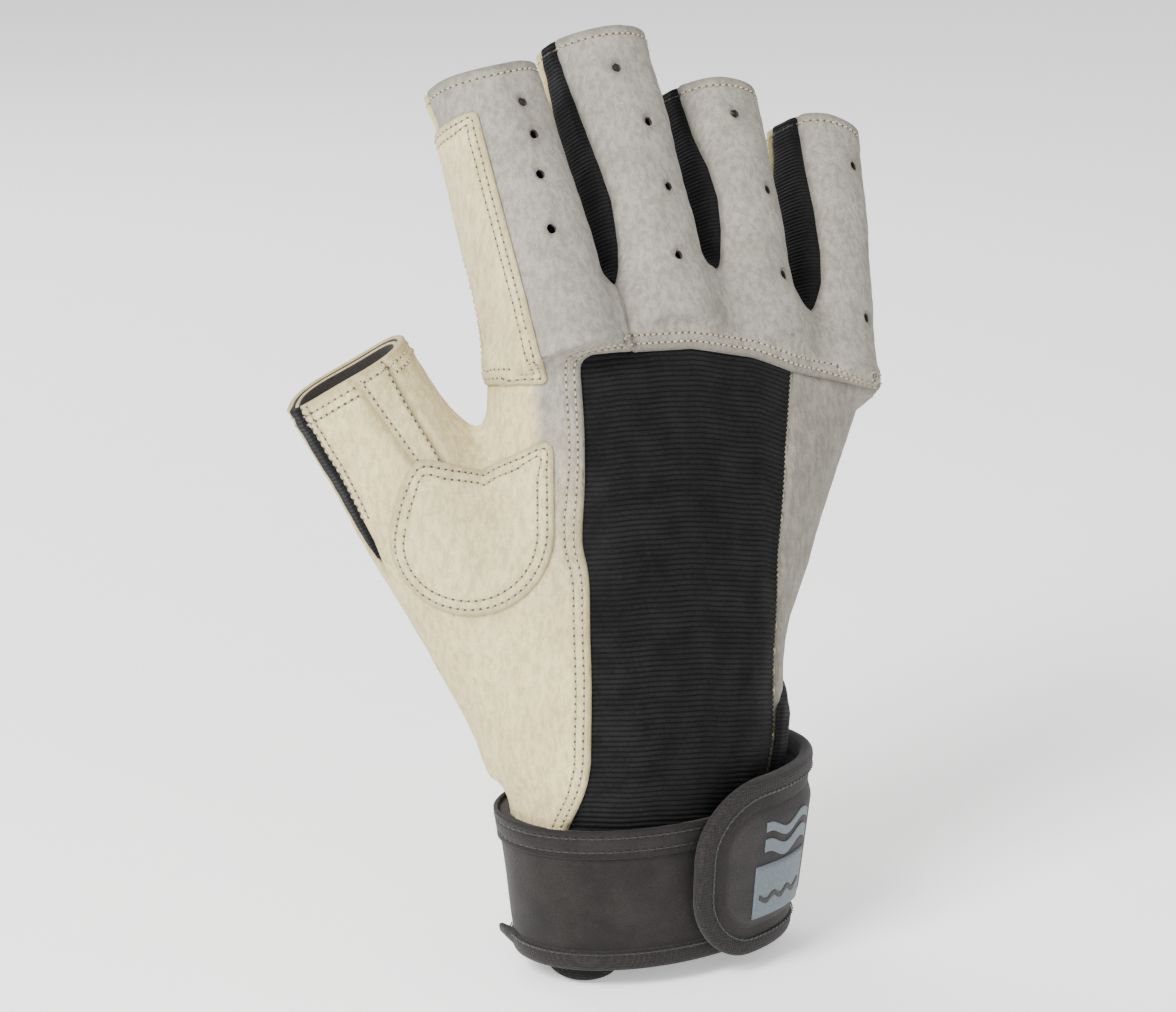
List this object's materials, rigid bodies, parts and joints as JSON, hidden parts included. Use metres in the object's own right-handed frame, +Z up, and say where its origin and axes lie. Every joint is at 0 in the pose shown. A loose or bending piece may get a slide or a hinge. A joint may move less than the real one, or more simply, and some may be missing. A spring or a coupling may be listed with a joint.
{
  "type": "sailing glove",
  "caption": "Right-hand short-finger sailing glove in worn shape: suede palm and thumb side, ribbed stretch back, vented open-ended finger sleeves, neoprene cuff with a hinged strap.",
  "frame": {"origin": "centre of the wrist opening, in the plane of the cuff's lower rim", "axes": "+Z up the cuff's axis towards the fingertips, -X the thumb side, +X the little-finger side, -Y the back of the hand, +Y the palm"},
  "size_m": [0.1386, 0.076, 0.1809],
  "materials": {
    "suede": "matte synthetic suede with a short nap",
    "suede_patch": "matte synthetic suede, second layer with double stitching",
    "ribbed_stretch": "matte ribbed stretch knit",
    "neoprene": "fabric-faced foam rubber, matte",
    "edge_tape": "woven edge tape, matte",
    "hook_fastener": "moulded hook tape",
    "loop_fastener": "brushed loop pile",
    "badge": "soft printed badge, plain shapes only"
  },
  "bodies": {
    "hand": {"back_panel": "ribbed_stretch", "cuff_band": "neoprene", "cuff_binding": "edge_tape", "cuff_top_tape": "edge_tape", "knuckle_side_patch": "suede_patch", "knuckle_yoke": "suede", "little_side_panel": "suede", "loop_patch": "loop_fastener", "palm_panel": "suede", "palm_patch": "suede_patch", "pull_tab": "edge_tape", "strap_anchor": "neoprene", "thumb_base": "suede", "thumb_web_patch": "suede_patch", "web_index_middle": "ribbed_stretch", "web_middle_ring": "ribbed_stretch", "web_ring_little": "ribbed_stretch", "wrist_gusset": "ribbed_stretch"},
    "strap": {"hook_patch": "hook_fastener", "strap_band": "neoprene", "strap_binding": "edge_tape", "strap_pad": "neoprene", "strap_badge": "badge"},
    "index": {"index_back": "suede", "index_hem": "suede", "index_little_side_gusset": "ribbed_stretch", "index_palm": "suede", "index_patch": "suede_patch"},
    "middle": {"middle_back": "suede", "middle_hem": "suede", "middle_little_side_gusset": "ribbed_stretch", "middle_palm": "suede", "middle_thumb_side_gusset": "ribbed_stretch"},
    "ring": {"ring_back": "suede", "ring_hem": "suede", "ring_little_side_gusset": "ribbed_stretch", "ring_palm": "suede", "ring_thumb_side_gusset": "ribbed_stretch"},
    "little": {"little_back": "suede", "little_hem": "suede", "little_palm": "suede", "little_thumb_side_gusset": "ribbed_stretch"},
    "thumb": {"thumb_back": "suede", "thumb_hem": "suede", "thumb_palm": "suede", "thumb_side_insert": "suede", "thumb_strip": "ribbed_stretch"}
  },
  "joints": [
    {"name": "index_bend", "type": "hinge", "parent": "hand", "child": "index", "pos_m": [-0.01246, 0.02951, 0.12387], "axis": [-0.9999, -0.0124, 0.0015], "range_deg": [-6, 60], "stiffness_Nm_per_rad": 0.04},
    {"name": "middle_bend", "type": "hinge", "parent": "hand", "child": "middle", "pos_m": [0.01171, 0.02994, 0.12497], "axis": [-0.9926, 0.0093, 0.1215], "range_deg": [-6, 60], "stiffness_Nm_per_rad": 0.04},
    {"name": "ring_bend", "type": "hinge", "parent": "hand", "child": "ring", "pos_m": [0.03437, 0.02866, 0.11908], "axis": [-0.9744, 0.0278, 0.2229], "range_deg": [-6, 60], "stiffness_Nm_per_rad": 0.04},
    {"name": "little_bend", "type": "hinge", "parent": "hand", "child": "little", "pos_m": [0.05568, 0.02634, 0.10986], "axis": [-0.9337, 0.052, 0.3541], "range_deg": [-6, 60], "stiffness_Nm_per_rad": 0.04},
    {"name": "thumb_bend", "type": "hinge", "parent": "hand", "child": "thumb", "pos_m": [-0.02543, 0.03754, 0.09166], "axis": [-0.641, 0.5673, -0.517], "range_deg": [-6, 40], "stiffness_Nm_per_rad": 0.04},
    {"name": "strap_open", "type": "hinge", "parent": "hand", "child": "strap", "pos_m": [0.03177, 0.00331, 0.01425], "axis": [0, 0, 1], "range_deg": [0, 90]}
  ]
}
